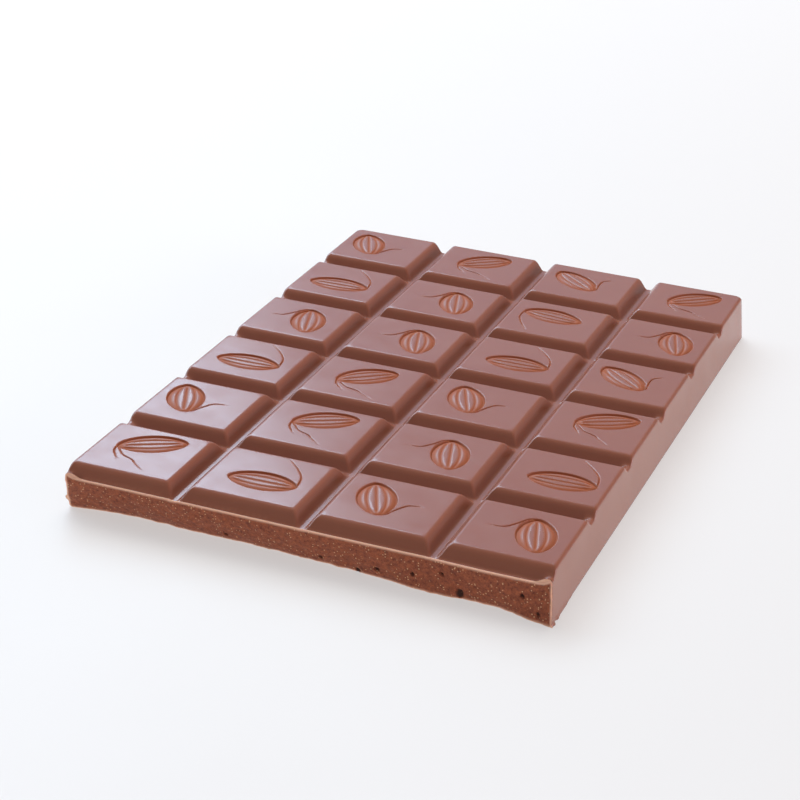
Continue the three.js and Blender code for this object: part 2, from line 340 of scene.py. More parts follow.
# Air bubbles: x, how far behind the front groove's middle, z and radius.
BUBBLES = [
    (33.5, 0.16, 3.4, 0.34),
    (36.1, -0.18, 1.2, 0.3),
    (-12.7, 2.95, 1.3, 0.34),
    (2.5, 2.5, 1.3, 0.32),
    (11.4, 1.75, 1.7, 0.4),
    (17.0, 1.0, 2.6, 0.3),
    (21.5, 0.6, 3.9, 0.28),
    (8.15, 2.6, 0.35, 0.4),
]
TORN_DROP = ((23.1, 1.15, 1.6), (0.5, 0.6, 1.35))  # its middle, and half its size each way
TORN_HOLLOW = ((24.1, 1.1, 1.0), (0.55, 0.6, 0.85))
SCOOPS = [((x, y, z), (radius,) * 3) for x, y, z, radius in BUBBLES] + [TORN_HOLLOW]


def crags(x, z):
    """Uneven ground between -1 and 1, from waves that don't repeat together."""
    spot = 2 * np.pi * np.stack([x, z]) / CRAG_LENGTH
    ground = 0.0
    for share, turns, bend, bend_turns in CRAG_WAVES:
        bent = bend * np.sin(np.tensordot(bend_turns, spot, 1))
        ground = ground + share * np.sin(np.tensordot(turns, spot, 1) + bent)
    return ground


def bulge(x, z, ellipsoid):
    """How far an ellipsoid reaches from its middle plane, or nothing beside it."""
    (at_x, _, at_z), half = ellipsoid
    return half[1] * np.sqrt(
        np.clip(1 - ((x - at_x) / half[0]) ** 2 - ((z - at_z) / half[2]) ** 2, 0, 1)
    )


def snapped_y(x, z, top):
    """Where the snapped face lies at x and z, under a top edge at this height."""
    share = (x + HALF_WIDTH) / (2 * HALF_WIDTH)
    top_line, foot_line = through(BREAK_TOP, share), through(BREAK_FOOT, share)
    down = np.clip(top - z, 0, None)
    crumbled = CREST * np.sqrt(1 - (1 - np.clip(down / CREST, 0, 1)) ** 2)
    y = top_line + CREST / 2 - crumbled + (foot_line - top_line) * (down / top) ** BREAK_CURVE
    rough = np.clip(down / FACE_START, LEAST_ROUGH, 1)
    y += rough * CRAG * crags(x, z)
    spots = np.column_stack([x, z, top_line])
    for seed, (height, length) in enumerate(GRAIN):
        y += rough * height * noise_at(spots, length, seed + 1.0)
    reach = bulge(x, z, TORN_DROP)
    y = np.where(reach > 0, np.minimum(y, TORN_DROP[0][1] - reach), y)
    for scoop in SCOOPS:
        reach = bulge(x, z, scoop)
        y = np.where(reach > 0, np.maximum(y, scoop[0][1] + reach), y)
    return FRONT + y


# %% [markdown]
# ## The edge of the top
# The slab's shell has three parts that share their edges: the top, a band of rings that goes all
# the way round it, and the underside. The band's first ring is the edge of the top. It
# lies a little inside the outer walls, where the top is still level, and at the front it is the
# upper edge of the snapped face. Each point of it knows its place at the foot of the slab and the
# way in which it moves as the walls lean in.

# %% Rows of the mesh
STEP = 1.0  # between rows where the slab is plain
SNAP_STEP = 0.2  # between points across the snapped face
# A groove's wall has rows where its straight ramp, carried on past both ends, has these depths.
RAMP_STOPS = (2.3, 2.1, 1.95, 1.8, 1.6, 1.2, 0.8, 0.55, 0.35, 0.15, -0.05, -0.25, -0.5, -0.8)


def groove_offsets(mouth):
    """Distances from a groove's middle that follow its section: close at its round edges."""
    edge = wall_edge(mouth)
    return [0.0] + [
        edge - stop * (edge - GROOVE_FLOOR / 2) / GROOVE_DEPTH for stop in RAMP_STOPS
    ]


def rows(start, end, grooves, mouth):
    """Where the mesh has its rows between two ends of the top."""
    stops = {start, end}
    for middle in grooves:
        for offset in groove_offsets(mouth):
            stops |= {middle - offset, middle + offset}
    stops = sorted(stop for stop in stops if start <= stop <= end)
    filled = []
    for a, b in zip(stops, stops[1:]):
        filled += list(np.linspace(a, b, max(1, math.ceil((b - a) / STEP)), endpoint=False))
    return np.array(filled + [end])


CORNER_RADIUS = 1.2  # of the two back corners, seen from above
x_rows = rows(EDGE_INSET - HALF_WIDTH, HALF_WIDTH - EDGE_INSET, LONG_GROOVES, LONG_MOUTH)
y_rows = rows(FRONT, BACK - EDGE_INSET, CROSS_GROOVES, CROSS_MOUTH)
print("rows across:", len(x_rows), " rows along:", len(y_rows))

# %% The edge of the top, anticlockwise from the front left corner
CORNER_STEPS = 5
WALL_START = 0.15  # from a front corner to the first row of the side wall
SETTLE = 3  # rounds in which the edge of the snapped face finds its height

front_x = np.linspace(-1, 1, round(2 * HALF_WIDTH / SNAP_STEP) + 1) * (HALF_WIDTH - EDGE_INSET)
front_y = np.full_like(front_x, FRONT)
for _ in range(SETTLE):  # the height of the edge depends a little on where it lies
    front_top = THICKNESS - groove_depth(front_x, front_y)
    front_y = snapped_y(front_x, front_top, front_top)
corner_middle = np.array([HALF_WIDTH, BACK]) - CORNER_RADIUS
side_y = y_rows[y_rows < corner_middle[1] - EDGE_INSET - WALL_START]
right_y = side_y[side_y > front_y[-1] + WALL_START]
left_y = side_y[side_y > front_y[0] + WALL_START][::-1]
back_x = x_rows[abs(x_rows) < corner_middle[0] - EDGE_INSET - WALL_START][::-1]
quarter = np.linspace(0, math.pi / 2, CORNER_STEPS + 1)
arc_x, arc_y = CORNER_RADIUS * np.cos(quarter), CORNER_RADIUS * np.sin(quarter)

foot_x = np.concatenate([
    front_x * HALF_WIDTH / front_x[-1],
    np.full(len(right_y), HALF_WIDTH), corner_middle[0] + arc_x,
    back_x, -corner_middle[0] - arc_x[::-1], np.full(len(left_y), -HALF_WIDTH),
])
foot_y = np.concatenate([
    front_y, right_y, corner_middle[1] + arc_y,
    np.full(len(back_x), BACK), corner_middle[1] + arc_y[::-1], left_y,
])
on_arc = np.ones(CORNER_STEPS + 1)
lean_x = np.concatenate([
    np.linspace(-1, 1, len(front_x)), np.ones(len(right_y)), on_arc,
    0 * back_x, -on_arc, -np.ones(len(left_y)),
])
lean_y = np.concatenate([
    0 * front_x, 0 * right_y, on_arc, np.ones(len(back_x)), on_arc, 0 * left_y,
])
edge_points = np.column_stack([foot_x - EDGE_INSET * lean_x, foot_y - EDGE_INSET * lean_y])
edge_height = top_height(edge_points)
SNAPPED = len(front_x)  # this many of the edge's points belong to the snapped face
print("points round the edge:", len(edge_points), " across the snapped face:", SNAPPED)

# %% [markdown]
# ## The band round the slab
# Seen in section, a moulded wall is a round top edge, a straight wall that leans in by the mould's
# draft and a small chamfer at the foot. Every ring of the band has a share of that profile, and
# at the front the same rings run down the snapped face. At the two front corners both profiles
# are blended, and the side walls' rows are pushed along, so that they end on the snapped face.

# %% Rings of the band
DRAFT = math.radians(5.5)
TOP_ROUND, GROOVE_END_ROUND = 0.6, 0.4  # radius of the wall's top edge at a pip, and at a groove
FOOT_CHAMFER = 0.2
ROUND_STEPS, WALL_STEPS = 6, 22
CREST_STEPS = 4
RINGS = ROUND_STEPS + WALL_STEPS + 1
BLEND_REACH, PUSH_REACH = 2.5, 10.0  # from a front corner: across the face, and along a side wall

depth_share = np.clip((THICKNESS - edge_height) / GROOVE_DEPTH, 0, 1)
radius = TOP_ROUND + (GROOVE_END_ROUND - TOP_ROUND) * depth_share
round_height = edge_height - radius
round_inset = round_height * math.tan(DRAFT) + radius / math.cos(DRAFT)
inset = [np.full(len(radius), EDGE_INSET)]
height = [edge_height]
for angle in np.linspace(math.pi / 2, DRAFT, ROUND_STEPS + 1):
    inset.append(round_inset - radius * math.cos(angle))
    height.append(round_height + radius * math.sin(angle))
wall_inset, wall_height = inset[-1], height[-1]
for share in np.linspace(0, 1, WALL_STEPS)[1:]:
    inset.append(wall_inset * (1 - share))
    height.append(wall_height + (FOOT_CHAMFER - wall_height) * share)
inset.append(np.full(len(radius), FOOT_CHAMFER))
height.append(np.zeros(len(radius)))
inset, height = np.array(inset), np.array(height)
print("rings:", len(height))

# %% The band's points
ring_x = foot_x - inset * lean_x
ring_y = foot_y - inset * lean_y
front = slice(0, SNAPPED)
from_corner = HALF_WIDTH - abs(foot_x[front])
near = np.clip(1 - from_corner / BLEND_REACH, 0, 1) ** 2
crest_turn = np.linspace(0, math.pi / 2, CREST_STEPS + 1)
crest_down = CREST * (1 - np.cos(crest_turn))
face_share = np.linspace(0, 1, RINGS + 1 - CREST_STEPS)[1:]
side = np.where(foot_x[front] < 0, 0, SNAPPED - 1)  # each point's nearer corner
straight = np.array([edge_height[front] - down for down in crest_down] + [
    (edge_height[front] - CREST) * (1 - share) for share in face_share
])
height[:, front] = straight + (height[:, side] - straight) * near
ring_x[:, front] = lean_x[front] * (HALF_WIDTH - inset[:, side])
for ring in range(1, RINGS + 1):
    ring_y[ring, front] = snapped_y(ring_x[ring, front], height[ring, front], edge_height[front])
left_wall, right_wall = slice(-len(left_y), None), slice(SNAPPED, SNAPPED + len(right_y))
for corner, walls in ((0, left_wall), (SNAPPED - 1, right_wall)):
    push = np.clip(1 - (foot_y[walls] - foot_y[corner]) / PUSH_REACH, 0, 1)
    ring_y[:, walls] += push * (ring_y[:, corner] - ring_y[0, corner])[:, None]
print("band, mm:", np.round([ring_x.min(), ring_x.max(), ring_y.min(), ring_y.max()], 2))

# %% [markdown]
# ## Flash and burrs
# Chocolate that creeps out under the mould's rim sets as a thin, jagged fin, the flash, along the
# foot of a wall. The slab has some at its right front corner, and a burr on its left one where the
# snap tore. Both only move points of the band straight out from the wall.

# %% Flash and burrs
FLASH = {"height": 0.45, "out": 0.42, "from": -1.0, "to": 9.5, "fade": 3.0, "jag": 0.9}
JAGGED = {"middle": 0.65, "swing": 0.9, "least": 0.1, "most": 1.3}  # shares of the flash's width
JAG_SEED = 5.0
BURR = {"z": 1.9, "half": (0.55, 0.8), "out": 0.4}  # half its size up, and along the wall
FACES_RIGHT, FACES_LEFT = 0.999, -0.97  # how far a point leans where it counts as on that wall

behind = ring_y - FRONT
low_down = np.clip(1 - height / FLASH["height"], 0, 1)
along = np.clip((FLASH["to"] - behind) / FLASH["fade"], 0, 1) * (behind > FLASH["from"])
jags = noise_at(np.column_stack([behind.ravel(), 0 * behind.ravel()]), FLASH["jag"], JAG_SEED)
jagged = JAGGED["middle"] + JAGGED["swing"] * jags.reshape(behind.shape)
jagged = np.clip(jagged, JAGGED["least"], JAGGED["most"])
flash = FLASH["out"] * low_down * along * jagged * (lean_x > FACES_RIGHT)
up = (height - BURR["z"]) / BURR["half"][0]
back = (behind - behind[:, :1]) / BURR["half"][1]
burr = BURR["out"] * np.sqrt(np.clip(1 - up**2 - back**2, 0, 1)) * (lean_x < FACES_LEFT)
ring_x += flash - burr
print("flash stands out by", round(flash.max(), 2), "and the burr by", round(burr.max(), 2))

# %% [markdown]
# ## Points on the top
# The top has to be fine along the grooves' edges and the pods' lines, and may be coarse on the
# level parts. A subdivided grid would waste most of its faces, so the points are chosen where the
# shape needs them, and Delaunay triangulation joins them. In the grooves they form rows. In a pod
# they follow its meridians, with more of them beside each line, and its lines are kept as edges.

# %% Points of one pod
LOBE_SHARES = (0.1, 0.22, 0.36, 0.5, 0.64, 0.78, 0.9)  # between two neighbouring lines
FLANKS = (0.08, 0.16, 0.26)  # distances beside a line
POINT_GAP = 0.07  # the least distance between two points
LOBE_REACH = 0.97  # how far a lobe's points run towards the tips


def beside(line, distance):
    """The line moved sideways by a distance, to its left where that is positive."""
    run = np.gradient(line, axis=0)
    normal = np.column_stack([-run[:, 1], run[:, 0]]) / np.linalg.norm(run, axis=1)[:, None]
    return line + distance * normal


def pod_points(stem):
    """The pod's points in its own plane, and the pairs of them that its lines join."""
    lines = [line for kind in PODS[stem].values() for line, _ in kind]
    points = [point for line in lines for point in line]
    starts = np.arange(len(lines)) * (LINE_STEPS + 1)
    pairs = [(a + i, a + i + 1) for a in starts for i in range(LINE_STEPS)]
    stops = (-1.0, *RIBS, 1.0)
    shares = [a + (b - a) * share for a, b in zip(stops, stops[1:]) for share in LOBE_SHARES]
    extra = [meridian(share, LOBE_REACH) for share in shares]
    extra += [beside(line, side * gap) for line in lines for side in (-1, 1) for gap in FLANKS]
    for point in np.concatenate(extra):
        if np.linalg.norm(np.array(points) - point, axis=1).min() > POINT_GAP:
            points.append(point)
    return np.array(points), pairs


POD_POINTS = {stem: pod_points(stem) for stem in STEMS}
print("points in a pod:", {stem: len(points) for stem, (points, _) in POD_POINTS.items()})

# %% Points of the whole top
FILL = 1.15  # between points on the level parts
CLEAR = 0.5  # from those to any others
EDGE_CLEAR = 0.12  # from any point to the edge
TINY = 1e-6  # so that rounding doesn't lose the outermost rows of a groove


def within_edge(points, clear):
    """Which points lie inside the top's edge by at least this much."""
    x, y = abs(points[:, 0]), points[:, 1]
    front_line = np.interp(points[:, 0], front_x, front_y)
    limit = np.array([HALF_WIDTH, BACK]) - EDGE_INSET - clear
    over = np.maximum(np.column_stack([x, y]) - (limit - CORNER_RADIUS), 0)
    in_corner = np.linalg.norm(over, axis=1) <= CORNER_RADIUS
    return (x < limit[0]) & (y < limit[1]) & (y > front_line + clear) & in_corner


def in_grooves(points, clear=0.0):
    """Which points lie in a groove or on its round edges."""
    long = abs(points[:, :1] - LONG_GROOVES).min(axis=1)
    cross = abs(points[:, 1:] - CROSS_GROOVES).min(axis=1)
    long_zone, cross_zone = max(groove_offsets(LONG_MOUTH)), max(groove_offsets(CROSS_MOUTH))
    return (long <= long_zone + clear) | (cross <= cross_zone + clear)


def grid(xs, ys):
    return np.stack(np.meshgrid(xs, ys), axis=-1).reshape(-1, 2)


def staggered(spacing):
    """Points over the whole slab, in rows that are staggered by half a spacing."""
    ys = np.arange(FRONT, BACK, spacing * math.sqrt(3) / 2)
    xs = np.arange(-HALF_WIDTH, HALF_WIDTH, spacing)
    points = grid(xs, ys)
    points[:, 0] += np.repeat(np.arange(len(ys)) % 2, len(xs)) * spacing / 2
    return points


groove_points = grid(x_rows, y_rows)
groove_points = groove_points[in_grooves(groove_points, TINY)]
groove_points = groove_points[within_edge(groove_points, EDGE_CLEAR)]
level = staggered(FILL)
level = level[~in_grooves(level, CLEAR) & within_edge(level, CLEAR)]
top_points, kept_edges = [groove_points], []
count = len(groove_points)
for pip in PIPS:
    points, pairs = POD_POINTS[pip.stem]
    pod = pip.to_slab(points)
    kept = within_edge(pod, EDGE_CLEAR)  # a few stems run out over the edge
    number = count + kept.cumsum() - 1
    kept_edges += [(number[a], number[b]) for a, b in pairs if kept[a] and kept[b]]
    plain = level[pip.has(level)]
    apart = np.linalg.norm(plain[:, None] - pod, axis=2).min(axis=1)
    top_points += [pod[kept], plain[apart > CLEAR]]
    count += len(top_points[-2]) + len(top_points[-1])
top_points = np.concatenate(top_points)
print("points on the top:", len(top_points))

# %% [markdown]
# ## One closed mesh
# The top and the underside are triangulated inside their rings, whose points they share with the
# band, so the mesh is closed without any welding. The underside gets a few points of its own
# to keep its triangles well shaped. The top's points also get their normals from its height,
# because the mean of their triangles' normals would blur the thin lines.

# %% Triangles inside a ring
SAME_POINT = 1e-5  # two points that are closer than this are one


def is_inside(triangle, around):
    """Triangles that fill the ring's dents from outside meet its points in falling order."""
    a, b, c = triangle
    return max(triangle) >= around or (a < b) + (b < c) + (c < a) == 2


def fill_ring(ring, inner, kept_edges=()):
    """Delaunay triangles of a ring and the points in it. A corner is its number in the ring, or
    the ring's length plus its number in the points that are also returned."""
    around = len(ring)
    points = [Vector(point) for point in np.concatenate([ring, inner])]
    edges = [(i, (i + 1) % around) for i in range(around)]
    edges += [(around + a, around + b) for a, b in kept_edges]
    found, _, triangles, sources, _, _ = delaunay_2d_cdt(points, edges, [], 0, SAME_POINT, True)
    numbers, extra = [], []
    for point, source in zip(found, sources):
        if source and min(source) < around:
            numbers.append(min(source))
        else:
            numbers.append(around + len(extra))
            extra.append(tuple(point))
    corners = [tuple(numbers[i] for i in triangle) for triangle in triangles]
    return np.array(extra), [triangle for triangle in corners if is_inside(triangle, around)]


top_plan, top_triangles = fill_ring(edge_points, top_points, kept_edges)
foot_ring = np.column_stack([ring_x[-1], ring_y[-1]])
UNDERSIDE_FILL = 3.0
foot_plan = staggered(UNDERSIDE_FILL)
foot_front = np.interp(foot_plan[:, 0], foot_ring[front, 0], foot_ring[front, 1])
margin = UNDERSIDE_FILL / 2
foot_plan = foot_plan[
    (abs(foot_plan[:, 0]) < HALF_WIDTH - margin)
    & (foot_plan[:, 1] < BACK - margin)
    & (foot_plan[:, 1] > foot_front + margin)
]
foot_inner, foot_triangles = fill_ring(foot_ring, foot_plan)
print("triangles: top", len(top_triangles), " underside", len(foot_triangles))

# %% The slab's points and faces
around = len(edge_points)
band = np.stack([ring_x, ring_y, height], axis=-1).reshape(-1, 3)
top = np.column_stack([top_plan, top_height(top_plan)])
underside = np.column_stack([foot_inner, np.zeros(len(foot_inner))])
vertices = np.concatenate([band, top, underside]) * MM
first_top, first_foot = len(band), len(band) + len(top)
last_ring = RINGS * around


def slab_face(triangle, ring_start, inner_start):
    """A triangle of the plan, with its corners' numbers in the whole mesh."""
    return [ring_start + i if i < around else inner_start + i - around for i in triangle]


faces = [
    (ring * around + i, (ring + 1) * around + i, (ring + 1) * around + j, ring * around + j)
    for ring in range(RINGS)
    for i, j in zip(range(around), np.roll(range(around), -1).tolist())
]
quad_count = len(faces)
faces += [slab_face(triangle, 0, first_top) for triangle in top_triangles]
faces += [slab_face(triangle[::-1], last_ring, first_foot) for triangle in foot_triangles]
print("faces:", len(faces), " triangles:", sum(len(face) - 2 for face in faces))

# %% The normals of the top
NUDGE = 0.02  # to each side, to find how steep the top is
slope_x, slope_y = [
    (top_height(top_plan + nudge) - top_height(top_plan - nudge)) / (2 * NUDGE)
    for nudge in NUDGE * np.eye(2)
]
facing = np.column_stack([-slope_x, -slope_y, np.ones(len(top))])
top_normals = np.zeros_like(vertices)  # zero leaves a point its own normal
top_normals[first_top:first_foot] = facing / np.linalg.norm(facing, axis=1)[:, None]
print("steepest slope on the top:", round(float(np.hypot(slope_x, slope_y).max()), 2))

# %% The slab's mesh
mesh = bpy.data.meshes.new("chocolate_slab_moulded")
mesh.from_pydata(vertices.tolist(), [], faces)
slab = bpy.data.objects.new("moulded_slab", mesh)
bpy.context.scene.collection.objects.link(slab)

MOULDED, SNAPPED_FACE, POURED = 0, 1, 2  # the mesh's material slots
finish = np.full(len(faces), MOULDED)
in_front = np.tile(np.arange(around) < SNAPPED - 1, RINGS)
finish[:quad_count][in_front] = SNAPPED_FACE
finish[len(faces) - len(foot_triangles):] = POURED
mesh.polygons.foreach_set("material_index", finish)
mesh.polygons.foreach_set("use_smooth", finish != POURED)
mesh.update()
mesh.normals_split_custom_set_from_vertices(top_normals.tolist())
uses = Counter(key for polygon in mesh.polygons for key in polygon.edge_keys)
print("edges without two faces:", sum(count != 2 for count in uses.values()))

# %% [markdown]
# ## Painted highlights and shade on the break, and where the top was cut
# Along its crumbled top edge, its front corners and its foot, the break gets a painted highlight,
# where light would catch the crumbs, over some real paleness of crushed crumbs. Down in a
# bubble it gets painted shade. The engraved lines are dull, because the mould can't be polished
# inside them, and their warmer brown is a painted glow. A material can't see any of this from
# the shape, so each point carries two values: one is above zero for the painted edge highlight
# and below zero for the painted shade in hollows, and "engraved" is above zero in the engraving.

# %% Values for the painted edge highlight and the painted shade in hollows
# The painted highlight along the snapped face's edges: how far it reaches from an edge, and its
# strength along the foot.
HIGHLIGHT_REACH = 0.32  # how far from an edge a bruise reaches
FOOT_HIGHLIGHT = 0.6  # strength of the bruise along the foot, where 1 is full

band_x, band_z = ring_x[:, front], height[:, front]
# Painted highlight near the top edge, the front corners and the foot.
edge_gap = np.minimum(edge_height[front] - band_z, HALF_WIDTH - inset[:, side] - abs(band_x))
edge_highlight_and_pit_shade = np.clip(1 - edge_gap / HIGHLIGHT_REACH, 0, 1)
edge_highlight_and_pit_shade = np.maximum(edge_highlight_and_pit_shade, FOOT_HIGHLIGHT * np.clip(1 - band_z / HIGHLIGHT_REACH, 0, 1))
# Painted shade in the bubbles, as values below zero.
for scoop in SCOOPS:
    hollow = bulge(band_x, band_z, scoop) / scoop[1][1]
    edge_highlight_and_pit_shade = np.where(hollow > 0, -hollow, edge_highlight_and_pit_shade)
on_band = np.zeros((RINGS + 1, around))
on_band[:, front] = edge_highlight_and_pit_shade
on_band[:, SNAPPED:] = (flash > 0)[:, SNAPPED:] * low_down[:, SNAPPED:]
edge_highlights_and_pit_shades = np.zeros(len(vertices))
edge_highlights_and_pit_shades[:first_top] = on_band.ravel()
print("highlighted points:", int((edge_highlights_and_pit_shades > 0).sum()), " hollow points:", int((edge_highlights_and_pit_shades < 0).sum()))

# %% Values for the engraving, and both onto the mesh
# Engraving this deep is fully dull and has the full painted glow.
FULL_TINT = 0.12  # depth of engraving that has the full tint
engraved = np.zeros(len(vertices))
engraved[first_top:first_foot] = np.clip(engraved_depth(top_plan) / FULL_TINT, 0, 1)
for name, values in (("edge_highlight_and_pit_shade", edge_highlights_and_pit_shades), ("engraved", engraved)):
    attribute = mesh.attributes.new(name, "FLOAT", "POINT")
    attribute.data.foreach_set("value", values.astype(np.float32))
print("engraved points:", int((engraved > 0).sum()))

# %% [markdown]
# ## A helper for materials
# Every finish below is a small graph of nodes. One function adds a node of any kind, sets it up
# and links its inputs, so that a material reads as a list of what the surface is made of.
# Colours are written as on a colour card, in sRGB hex, and turned to Blender's linear values.

# %% Nodes and colours
def linear(code):
    """An sRGB hex colour as linear red, green, blue and alpha."""
    parts = [int(code[i : i + 2], 16) / 255 for i in (1, 3, 5)]
    return (*[c / 12.92 if c <= 0.04045 else ((c + 0.055) / 1.055) ** 2.4 for c in parts], 1.0)


def add(tree, kind, inputs=None, **settings):
    """Adds a node with its settings. An input is a value, or another node's output."""
    node = tree.nodes.new(kind)
    for name, value in settings.items():
        setattr(node, name, value)
    for socket, value in (inputs or {}).items():
        if isinstance(value, bpy.types.NodeSocket):
            tree.links.new(value, node.inputs[socket])
        else:
            node.inputs[socket].default_value = value
    return node


def new_material(name):
    material = bpy.data.materials.new(name)
    material.use_nodes = True
    material.node_tree.nodes.clear()
    return material, material.node_tree


def per_size(size):
    """The scale of a pattern whose features are this many millimetres apart."""
    return 1 / (size * MM)


print("cocoa brown, linear:", [round(c, 3) for c in linear("#7A4A38")[:3]])

# %% [markdown]
# ## Moulded milk chocolate
# Tempered milk chocolate sets against a polished mould and copies its polish: a satin gloss on a
# warm brown. Cocoa butter is clear and milk solids are pale, so light goes a little way into it
# and comes out warmer, which keeps its round edges from looking hard.
# The gloss is never even, because it is duller where the chocolate let go of the mould late. In
# the engraved lines, which the polishing didn't reach, it is dull, and their warmer brown is a
# painted glow for the light bounced and scattered in them. A trace of cocoa butter dust shows as a
# faint pale sheen at low angles.

# %% Moulded milk chocolate
TINT_SIZE, GLOSS_SIZE, WAVE_SIZE = 14.0, 6.0, 3.2  # of the patterns in colour, gloss and shape
WAVE_HEIGHT = 0.03
POLISHED_BROWNS = linear("#8A4D36"), linear("#93573F")
# Painted glow: the engraving's warmer brown stands in for light bounced and scattered in its lines.
ENGRAVED_GLOW_BROWN = linear("#9C5330")
POLISHED_ROUGHNESS, ENGRAVED_ROUGHNESS = (0.15, 0.27), 0.6
POLISHED_SHINE, ENGRAVED_SHINE = 0.5, 0.2
COCOA_BUTTER_IOR = 1.5
GLOW_REACH = (1.0, 0.42, 0.2)  # how far red, green and blue light go into chocolate, as shares


def moulded_milk_chocolate():
    material, tree = new_material("moulded_milk_chocolate")
    place = add(tree, "ShaderNodeTexCoord").outputs["Object"]
    clouds = add(tree, "ShaderNodeTexNoise", {
        "Vector": place, "Scale": per_size(TINT_SIZE), "Detail": 3.0,
    })
    colour = add(tree, "ShaderNodeMix", {
        "Factor": clouds.outputs["Fac"], "A": POLISHED_BROWNS[0], "B": POLISHED_BROWNS[1],
    }, data_type="RGBA")
    engraved = add(tree, "ShaderNodeAttribute", attribute_name="engraved").outputs["Fac"]
    # Painted glow in the engraving.
    glow_tinted = add(tree, "ShaderNodeMix", {
        "Factor": engraved, "A": colour.outputs["Result"], "B": ENGRAVED_GLOW_BROWN,
    }, data_type="RGBA")
    release = add(tree, "ShaderNodeTexNoise", {
        "Vector": place, "Scale": per_size(GLOSS_SIZE), "Detail": 5.0, "Roughness": 0.65,
    })
    gloss = add(tree, "ShaderNodeMapRange", {
        "Value": release.outputs["Fac"], "From Min": 0.3, "From Max": 0.7,
        "To Min": POLISHED_ROUGHNESS[0], "To Max": POLISHED_ROUGHNESS[1],
    })
    dulled = add(tree, "ShaderNodeMix", {
        "Factor": engraved, "A": gloss.outputs["Result"], "B": ENGRAVED_ROUGHNESS,
    })
    shine = add(tree, "ShaderNodeMapRange", {
        "Value": engraved, "To Min": POLISHED_SHINE, "To Max": ENGRAVED_SHINE,
    })
    waves = add(tree, "ShaderNodeTexNoise", {
        "Vector": place, "Scale": per_size(WAVE_SIZE), "Detail": 2.0,
    })
    relief = add(tree, "ShaderNodeBump", {
        "Height": waves.outputs["Fac"], "Strength": 0.35, "Distance": WAVE_HEIGHT * MM,
    })
    surface = add(tree, "ShaderNodeBsdfPrincipled", {
        "Base Color": glow_tinted.outputs["Result"], "Roughness": dulled.outputs["Result"],
        "Specular IOR Level": shine.outputs["Result"], "IOR": COCOA_BUTTER_IOR,
        "Sheen Weight": 0.04, "Sheen Roughness": 0.35, "Sheen Tint": linear("#FFECF2"),
        "Subsurface Weight": 0.2, "Subsurface Radius": GLOW_REACH, "Subsurface Scale": 0.9 * MM,
        "Normal": relief.outputs["Normal"],
    })
    add(tree, "ShaderNodeOutputMaterial", {"Surface": surface.outputs["BSDF"]})
    return material


mesh.materials.append(moulded_milk_chocolate())
print("made", mesh.materials[MOULDED].name)

# %% [markdown]
# ## Snapped milk chocolate
# A fresh break shows what the polish hides: cocoa and sugar grains in cocoa butter. It is matt,
# because the grain scatters the light, and it is mottled dark and light, with pale specks of milk
# and sugar. The real grain is far too fine to show, so it is drawn as coarse as it needs to be.
# Edges get a painted highlight, over some real paleness of crushed crumbs, and bubbles get painted
# shade, by the values that the mesh carries.

# %% Snapped milk chocolate
GRAIN_SIZE, SPECK_SPACING = 0.6, 0.42
GRAIN_HEIGHT = 0.12
DARK_GRAIN, PALE_GRAIN, SPECK = linear("#62220C"), linear("#BA6238"), linear("#E2B083")
# Painted highlight for the crumbled edges, partly the crumbs' own paleness, and painted shade for
# the bubbles.
CRUMB_HIGHLIGHT, PIT_SHADE = linear("#FFC6A6"), linear("#2A120B")
GRAIN_CONTRAST = (0.34, 0.66)  # the noise between these goes from dark to pale
SPECK_EDGE = (0.3, 0.18)  # from where a speck starts to where it is solid
PLAIN_SHARE = 0.68  # the share of the grains that aren't pale specks
FULL_HIGHLIGHT, FULL_PIT_SHADE = 0.6, -0.7  # the mesh's values that have the full tint
SNAPPED_IOR, SNAPPED_ROUGHNESS = 1.48, 0.62


